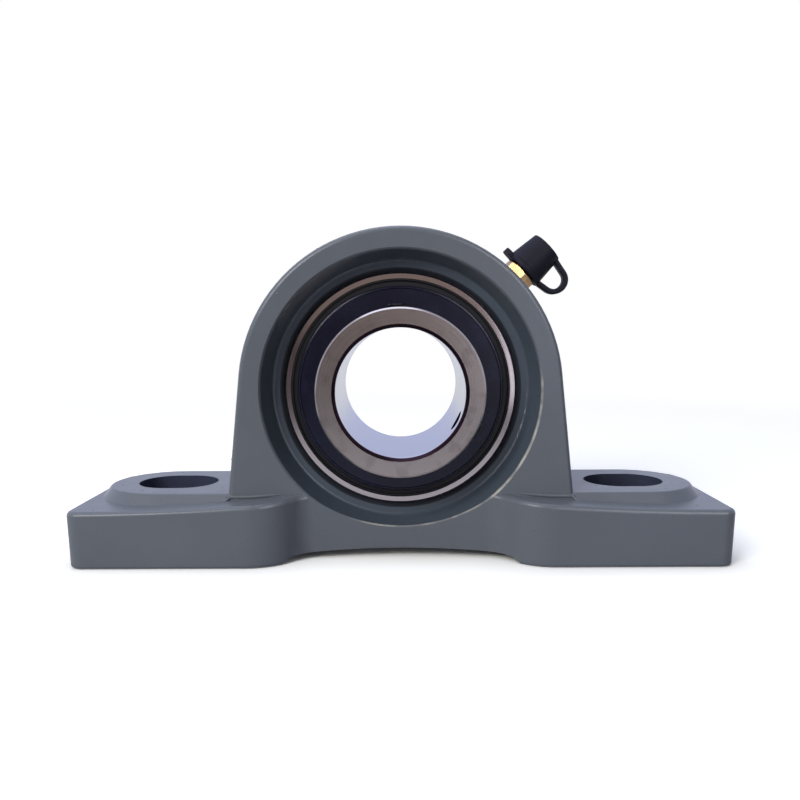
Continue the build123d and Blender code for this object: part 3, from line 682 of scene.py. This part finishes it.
ridge, given = new_tree("ridge_on_casting", {"Route": GEOMETRY, "Casting": OBJECT,
                                             "Sink": NUMBER, **SIZES})
casting = add(ridge, "GeometryNodeObjectInfo", {"Object": given["Casting"]}).outputs["Geometry"]
inward = add(ridge, "GeometryNodeInputNamedAttribute", {"Name": "inward"},
             data_type="FLOAT_VECTOR")
met = add(ridge, "GeometryNodeRaycast", {"Target Geometry": casting, "Ray Direction": inward,
                                         "Ray Length": RAY_LENGTH}).outputs["Hit Position"]
below = add(ridge, "ShaderNodeVectorMath", {0: inward, "Scale": given["Sink"]}, operation="SCALE")
laid = add(ridge, "ShaderNodeVectorMath", {0: met, 1: below}, operation="ADD")
route = add(ridge, "GeometryNodeSetPosition", {"Geometry": given["Route"], "Position": laid})
body = add(ridge, "GeometryNodeGroup",
           {"Route": route, **{label: given[label] for label in SIZES}}, node_tree=strip)
close_tree(ridge, body, given["Finish"])

# %% Seam over the arch and down the ends of the feet
FITTING_ANGLE = 43.3  # degrees from +X towards +Z, round the shaft axis
SEAM_GAP = 9.5  # degrees left free on each side of the fitting
SEAM_ENDS = (-27.5, 207.5)
START_RADIUS = 52  # mm, outside the arch and above the bolt seats
END_HEIGHTS = (1.2, 4.2, 7.2, 10.2, 13.0)
axis_point = Vector((0, 0, SHAFT_HEIGHT)) * MM


def ray_arc(first, last, steps):
    """Ray starts and directions on an arc, between two angles in degrees round the shaft."""
    turns = [radians(first + (last - first) * k / steps) for k in range(steps + 1)]
    outwards = [Vector((cos(a), 0, sin(a))) for a in turns]
    return [(axis_point + out * (START_RADIUS * MM), -out) for out in outwards]


def ray_wire(routes):
    """A wire mesh along ray starts, which keeps each ray's direction as an attribute."""
    mesh = wire([[start for start, _ in route] for route in routes])
    kept = mesh.attributes.new("inward", "FLOAT_VECTOR", "POINT")
    for item, (_, direction) in zip(kept.data, [ray for route in routes for ray in route]):
        item.vector = direction
    return mesh


routes = [ray_arc(SEAM_ENDS[0], FITTING_ANGLE - SEAM_GAP, 60),
          ray_arc(FITTING_ANGLE + SEAM_GAP, SEAM_ENDS[1], 140)]
routes += [[(Vector((side * 95, 0, z)) * MM, Vector((-side, 0, 0))) for z in END_HEIGHTS]
           for side in (-1, 1)]
mould_seam = grow("mould_seam", ridge, ray_wire(routes), {
    "Casting": nodes["housing"], "Sink": 0.08 * MM,
    **strip_sizes((0, 1, 0), painted_iron, width=1.5, top=0.45, height=0.5, corner=0.15,
                  fade=0.02)})
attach(mould_seam, "block")

# %% [markdown]
# ## Beads at the roots of the arch
#
# Where the arch stands on the feet the two halves of the pattern were joined with a bead of
# fillet wax, and its ridge is cast in iron. It runs level along the foot of each face and turns
# down to the rim of the foot at the corner. The tree of the seam lays it along four routes, with
# rays that come down on the foot and level rays that meet the face.

# %% Root beads
ON_FOOT = ((46.6, 19.9), (45.8, 18.8), (45.0, 17.7), (44.3, 16.8))  # x and y, mm
ON_FACE = ((43.3, 0), (42, 0), (40, 0), (37, 0.1), (34, 0.35), (31, 0.6), (28.4, 0.8))
ROOT_TOP = 16.15  # mm above the base, to which the second numbers on the face are added


def root_rays(x_side, y_side):
    """Rays down on the foot beside the corner of the arch, then level ones on to its face."""
    down = [(x, y, 25, (0, 0, -1)) for x, y in ON_FOOT]
    level = [(x, 30, ROOT_TOP + rise, (0, -y_side, 0)) for x, rise in ON_FACE]
    return [(Vector((x_side * x, y_side * y, z)) * MM, Vector(to)) for x, y, z, to in down + level]


beads = ray_wire([root_rays(x_side, y_side) for x_side in (-1, 1) for y_side in (-1, 1)])
root_beads = grow("root_beads", ridge, beads, {
    "Casting": nodes["housing"], "Sink": 0.12 * MM,
    **strip_sizes((0, 0, 1), painted_iron, width=0.9, top=0.6, height=0.7, corner=0.25,
                  fade=0.25)})
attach(root_beads, "block")

# %% [markdown]
# ## Grit under the paint
#
# Blasting never takes off every grain of burnt-on sand. The ones that stay are painted over as
# low nibs, a few tenths of a millimetre across. They are scattered over the cast skin, with none
# on machined places, and each is a squashed ball of a few faces, set square to the surface.

# %% Grit tree
grit, given = new_tree("grit_under_paint", {
    "Casting": OBJECT, "Spacing": NUMBER, "Density": NUMBER, "Smallest": NUMBER,
    "Largest": NUMBER, "Flatness": NUMBER, "Shaft height": NUMBER, "Clear radius": NUMBER,
    "Clear height": NUMBER, "Seed": COUNT, "Finish": FINISH})
casting = add(grit, "GeometryNodeObjectInfo", {"Object": given["Casting"]}).outputs["Geometry"]
spot = add(grit, "GeometryNodeInputPosition")
spot = add(grit, "ShaderNodeSeparateXYZ", {0: spot}).outputs
rise = add(grit, "ShaderNodeMath", {0: spot["Z"], 1: given["Shaft height"]},
           operation="SUBTRACT")
from_shaft = add(grit, "ShaderNodeCombineXYZ", {0: spot["X"], 2: rise})
reach = add(grit, "ShaderNodeVectorMath", {0: from_shaft}, operation="LENGTH")
outside = add(grit, "ShaderNodeMath", {0: reach, 1: given["Clear radius"]},
              operation="GREATER_THAN")
above = add(grit, "ShaderNodeMath", {0: spot["Z"], 1: given["Clear height"]},
            operation="GREATER_THAN")
as_cast = add(grit, "ShaderNodeMath", {0: outside, 1: above}, operation="MULTIPLY")
points = add(grit, "GeometryNodeDistributePointsOnFaces",
             {"Mesh": casting, "Distance Min": given["Spacing"], "Density Max": given["Density"],
              "Density Factor": as_cast, "Seed": given["Seed"]},
             distribute_method="POISSON").outputs
nib = add(grit, "GeometryNodeMeshUVSphere", {"Segments": 8, "Rings": 5})
size = add(grit, "FunctionNodeRandomValue",
           {"Min": given["Smallest"], "Max": given["Largest"], "Seed": given["Seed"]},
           data_type="FLOAT").outputs["Value"]
low = add(grit, "ShaderNodeMath", {0: size, 1: given["Flatness"]}, operation="MULTIPLY")
squashed = add(grit, "ShaderNodeCombineXYZ", {0: size, 1: size, 2: low})
set_out = add(grit, "GeometryNodeInstanceOnPoints",
              {"Points": points["Points"], "Instance": nib, "Rotation": points["Rotation"],
               "Scale": squashed})
close_tree(grit, set_out, given["Finish"])

# %% Grit on the housing
paint_grit = grow("paint_grit", grit, wire([]), {
    "Casting": nodes["housing"], "Spacing": 2.5 * MM, "Density": 24000.0,
    "Smallest": 0.08 * MM, "Largest": 0.26 * MM, "Flatness": 0.4,
    "Shaft height": SHAFT_HEIGHT * MM, "Clear radius": 38.5 * MM, "Clear height": 1 * MM,
    "Seed": 7, "Finish": painted_iron})
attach(paint_grit, "block")

# %% [markdown]
# ## Set screws
#
# Two set screws lock the inner ring to the shaft. Each is a length of thread with a hexagon
# socket at its outer end and a cup point that bites into the shaft. A modeller could spin a
# profile and cut the thread and the socket with booleans. Here one rule does it all: a grid is
# wrapped round the axis, each row takes its radius and height from a profile, threaded rows lose
# a groove that climbs by one pitch a turn, and socket rows follow a hexagon.

# %% Set screw tree: rows, columns and the groove
CREST_FLAT, ROOT_FLAT = 0.06, 0.44  # shares of the pitch

screw, given = new_tree("set_screw", {
    "Profile": GEOMETRY, "Rows": COUNT, "Columns": COUNT, "Pitch": NUMBER,
    "Thread depth": NUMBER, "Across flats": NUMBER, "Lean": NUMBER, "Foot": VECTOR,
    "Finish": FINISH})
grid = add(screw, "GeometryNodeMeshGrid",
           {"Vertices X": given["Columns"], "Vertices Y": given["Rows"]})
index = add(screw, "GeometryNodeInputIndex")
row = add(screw, "ShaderNodeMath", {0: index, 1: given["Rows"]}, operation="MODULO")
column = add(screw, "ShaderNodeMath", {0: index, 1: given["Rows"]}, operation="DIVIDE")
column = add(screw, "ShaderNodeMath", {0: column}, operation="FLOOR")
last = add(screw, "ShaderNodeMath", {0: given["Columns"], 1: 1.0}, operation="SUBTRACT")
turn = add(screw, "ShaderNodeMath", {0: column, 1: last}, operation="DIVIDE")
angle = add(screw, "ShaderNodeMath", {0: turn, 1: 2 * pi}, operation="MULTIPLY")
point = add(screw, "GeometryNodeInputPosition")
kind = add(screw, "GeometryNodeInputNamedAttribute", {"Name": "kind"}, data_type="FLOAT_VECTOR")
point, kind = (add(screw, "GeometryNodeSampleIndex",
                   {"Geometry": given["Profile"], "Index": row, "Value": value},
                   data_type="FLOAT_VECTOR") for value in (point, kind))
point = add(screw, "ShaderNodeSeparateXYZ", {0: point}).outputs
kind = add(screw, "ShaderNodeSeparateXYZ", {0: kind}).outputs
climb = add(screw, "ShaderNodeMath", {0: point["Z"], 1: given["Pitch"]}, operation="DIVIDE")
climb = add(screw, "ShaderNodeMath", {0: climb, 1: turn}, operation="SUBTRACT")
phase = add(screw, "ShaderNodeMath", {0: climb, 1: 1.0}, operation="FLOORED_MODULO")
from_crest = add(screw, "ShaderNodeMath", {0: phase, 1: 0.5}, operation="PINGPONG")
groove = add(screw, "ShaderNodeMapRange",
             {"Value": from_crest, "From Min": CREST_FLAT, "From Max": ROOT_FLAT})
for share in (given["Thread depth"], kind["X"]):
    groove = add(screw, "ShaderNodeMath", {0: groove, 1: share}, operation="MULTIPLY")
radius = add(screw, "ShaderNodeMath", {0: point["X"], 1: groove}, operation="SUBTRACT")

# %% Set screw tree: the hexagon, and every point in its place
in_side = add(screw, "ShaderNodeMath", {0: angle, 1: pi / 3}, operation="FLOORED_MODULO")
in_side = add(screw, "ShaderNodeMath", {0: in_side, 1: pi / 6}, operation="SUBTRACT")
shorten = add(screw, "ShaderNodeMath", {0: in_side}, operation="COSINE")
to_side = add(screw, "ShaderNodeMath", {0: given["Across flats"], 1: 2.0}, operation="DIVIDE")
to_side = add(screw, "ShaderNodeMath", {0: to_side, 1: shorten}, operation="DIVIDE")
radius = add(screw, "ShaderNodeMapRange",
             {"Value": kind["Y"], "To Min": radius, "To Max": to_side})
across, along = (add(screw, "ShaderNodeMath", {0: angle}, operation=wave)
                 for wave in ("COSINE", "SINE"))
across, along = (add(screw, "ShaderNodeMath", {0: share, 1: radius}, operation="MULTIPLY")
                 for share in (across, along))
wrapped = add(screw, "ShaderNodeCombineXYZ", {0: across, 1: along, 2: point["Z"]})
leaning = add(screw, "ShaderNodeVectorRotate", {"Vector": wrapped, "Angle": given["Lean"]},
              rotation_type="Y_AXIS")
placed = add(screw, "ShaderNodeVectorMath", {0: leaning, 1: given["Foot"]}, operation="ADD")
skin = add(screw, "GeometryNodeSetPosition", {"Geometry": grid, "Position": placed})
welded = add(screw, "GeometryNodeMergeByDistance", {"Geometry": skin, "Distance": 0.002 * MM})
close_tree(screw, welded, given["Finish"])

# %% Set screws
SCREW_LENGTH, CREST, PITCH, THREAD_DEPTH, ACROSS_FLATS = 5.2, 2.55, 0.75, 0.40, 3.0
CUP_RIM, BREAK = 1.75, 2.15  # mm, radius of the cup's rim and of both broken edges
SOCKET_DEPTH, DRILL_POINT = 2.6, 0.5
SCREW_ANGLES = {1: -28.0, 2: 92.0}  # degrees from +X towards +Z
SCREW_TIP, SCREW_Y = 16.5, -16.2
THREAD_START, THREAD_ROWS, ROWS_PER_PITCH, COLUMNS = 0.75, 67, 12, 73

# Each row: radius, height, share of thread, share of hexagon.
cup = [(0.0, 0.55, 0, 0), (1.5, 0.0, 0, 0), (CUP_RIM, 0.0, 0, 0), (BREAK, 0.35, 0, 0)]
thread = [(CREST, THREAD_START + PITCH / ROWS_PER_PITCH * k, 1, 0) for k in range(THREAD_ROWS)]
bottom = SCREW_LENGTH - SOCKET_DEPTH
socket = [(BREAK, SCREW_LENGTH, 0, 0), (1.85, SCREW_LENGTH, 0, 0), (0.0, SCREW_LENGTH, 0, 1),
          (0.0, bottom, 0, 1), (0.0, bottom - DRILL_POINT, 0, 0)]
rows = cup + thread + socket
profile = wire([[Vector((r, 0, h)) * MM for r, h, _, _ in rows]])
kinds = profile.attributes.new("kind", "FLOAT_VECTOR", "POINT")
for item, (_, _, in_thread, in_socket) in zip(kinds.data, rows):
    item.vector = (in_thread, in_socket, 0)
for number, degrees in SCREW_ANGLES.items():
    out = Vector((cos(radians(degrees)), 0, sin(radians(degrees))))
    foot = axis_point + out * SCREW_TIP * MM + Vector((0, SCREW_Y, 0)) * MM
    threaded = grow(f"set_screw_{number}_threaded", screw, profile.copy(), {
        "Rows": len(rows), "Columns": COLUMNS, "Pitch": PITCH * MM,
        "Thread depth": THREAD_DEPTH * MM, "Across flats": ACROSS_FLATS * MM,
        "Lean": radians(90 - degrees), "Foot": foot, "Finish": black_oxide})
    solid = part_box(f"set_screw_{number}")[1]
    past = [max(c[i] for c in threaded.bound_box) - solid[i] for i in range(3)]
    print("  past its solid's box, mm:", [round(p / MM, 3) for p in past])
    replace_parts(threaded, f"set_screw_{number}")
    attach(threaded, f"screw_{number}")

# %% [markdown]
# ## Rolled rims of the slingers and seal plates
#
# The edges of the pressed rings are rolled over, so that they are smooth to the touch and stiff.
# A round bead on a closed circle gives the thin line of light that runs along each of them.

# %% Rolled rims
# For each owner: radius and place along the shaft, thickness of the bead in mm, and body.
ROLLED = {"slinger": (26.0, 9.72, 0.8, "shaft_ring"), "seal": (27.96, 8.5, 0.6, "aligning_ring")}
ROUND = 0.48  # corner radius of a nearly round section, as a share of its width


def circle_route(middle, across, up, radius, steps):
    """Points on a circle, from its middle and two square directions, in mm."""
    turns = [2 * pi * k / steps for k in range(steps)]
    return [(middle + (across * cos(a) + up * sin(a)) * radius) * MM for a in turns]


for owner, (rim_radius, rim_y, bead, carrier) in ROLLED.items():
    for end, side in (("front", -1), ("rear", 1)):
        middle = Vector((0, side * rim_y, SHAFT_HEIGHT))
        around = circle_route(middle, Vector((1, 0, 0)), Vector((0, 0, 1)), rim_radius, 160)
        rim = grow(f"{owner}_rim_{end}", strip, wire([around], closed=True),
                   strip_sizes((0, 1, 0), phosphated_steel, bead, bead, ROUND * bead))
        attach(rim, carrier)

# %% [markdown]
# ## The tether of the dust cap
#
# One moulding holds the cap on: a ring round the neck of the fitting, a tab to pull it by, and a
# strap that loops up to the top of the cap. Its sections are flat with rounded corners, so each
# is a strip along its own route. The route of the strap is a straight run from the cap's wall, an
# arc that both runs touch, and a straight run back to the ring.

# %% Tether routes
FITTING_SEAT = 40.7  # mm from the shaft axis to the flat under the fitting
TETHER_BOTTOM, TETHER_TOP, NECK_RING = 3.75, 5.15, 3.92
LOOP_MIDDLE, LOOP_RADIUS, LOOP_STEPS = Vector((7.4, 8.25)), 3.1, 32
outward = Vector((cos(radians(FITTING_ANGLE)), 0, sin(radians(FITTING_ANGLE))))
sideways = Vector((outward.z, 0, -outward.x))
lengthways = Vector((0, 1, 0))
fitting_foot = Vector((0, 0, SHAFT_HEIGHT)) + outward * FITTING_SEAT
tether_mid = (TETHER_BOTTOM + TETHER_TOP) / 2


def by_fitting(across, up):
    """A point in metres, from mm across and mm up the axis of the fitting."""
    return (fitting_foot + sideways * across + outward * up) * MM


def touch_angle(end, side):
    """Where a straight run from this end touches the loop's arc, in radians."""
    gap = Vector(end) - LOOP_MIDDLE
    return atan2(gap.y, gap.x) + side * acos(LOOP_RADIUS / gap.length)


wall_end, ring_end = (3.9, 11.95), (4.0, tether_mid)
high, low = touch_angle(wall_end, -1), touch_angle(ring_end, 1)
turns = [high + (low - high) * k / LOOP_STEPS for k in range(LOOP_STEPS + 1)]
bend = [LOOP_MIDDLE + Vector((cos(a), sin(a))) * LOOP_RADIUS for a in turns]
strap_route = [by_fitting(*p) for p in (wall_end, *bend, ring_end)]
ring_route = circle_route(fitting_foot + outward * tether_mid, sideways, lengthways, NECK_RING,
                          72)
run = sum((b - a).length for a, b in zip(strap_route, strap_route[1:]))
print("length of the strap, mm:", round(run / MM, 1))

# %% Tether
THICKNESS, STRAP_WIDTH, RING_WIDTH = TETHER_TOP - TETHER_BOTTOM, 3.2, 2.94
TAB_PLACE, TAB_WIDTH, TAB_LENGTH = -5.2, 4.4, 4.0


def join(name, parts):
    """One plain mesh object made of several."""
    joined = bmesh.new()
    for part in parts:
        joined.from_mesh(part.data)
        bpy.data.objects.remove(part)
    mesh = bpy.data.meshes.new(name)
    joined.to_mesh(mesh)
    joined.free()
    return put_in_scene(name, mesh)


tab_route = [by_fitting(TAB_PLACE, up) for up in (TETHER_BOTTOM, TETHER_TOP)]
tether = join("cap_tether_moulded", (
    grow("strap", strip, wire([strap_route]),
         strip_sizes(lengthways, polyethylene, STRAP_WIDTH, THICKNESS, 0.3)),
    grow("ring", strip, wire([ring_route], closed=True),
         strip_sizes(outward, polyethylene, THICKNESS, RING_WIDTH, 0.25)),
    grow("tab", strip, wire([tab_route]),
         strip_sizes(lengthways, polyethylene, TAB_WIDTH, TAB_LENGTH, 1.5))))
tether.data.materials.append(polyethylene)
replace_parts(tether, "cap_tether")
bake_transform(tether)

# %% [markdown]
# ## The spring of the check valve
#
# A coil spring inside the fitting holds the check ball up. It can't be seen through the steel, but
# the model may be cut open, and a solid spring would go through the ball when the ball is pressed.
# Its wire is one more strip along a route.

# %% Check spring
COIL_RADIUS, COIL_START, COIL_HEIGHT, COIL_TURNS, WIRE = 1.04, 0.74, 6.088, 5, 0.28
STEPS_PER_TURN = 24

coil_steps = STEPS_PER_TURN * COIL_TURNS
coil = []
for k in range(coil_steps + 1):
    a = 2 * pi * COIL_TURNS * k / coil_steps
    level = outward * (COIL_START + COIL_HEIGHT * k / coil_steps)
    wound = (sideways * cos(a) + lengthways * sin(a)) * COIL_RADIUS
    coil.append((fitting_foot + level + wound) * MM)
spring = grow("check_spring_wound", strip, wire([coil]),
              strip_sizes(outward, spring_wire, WIRE, WIRE, ROUND * WIRE))
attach(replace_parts(spring, "grease_fitting_spring"), "block")
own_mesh(spring)
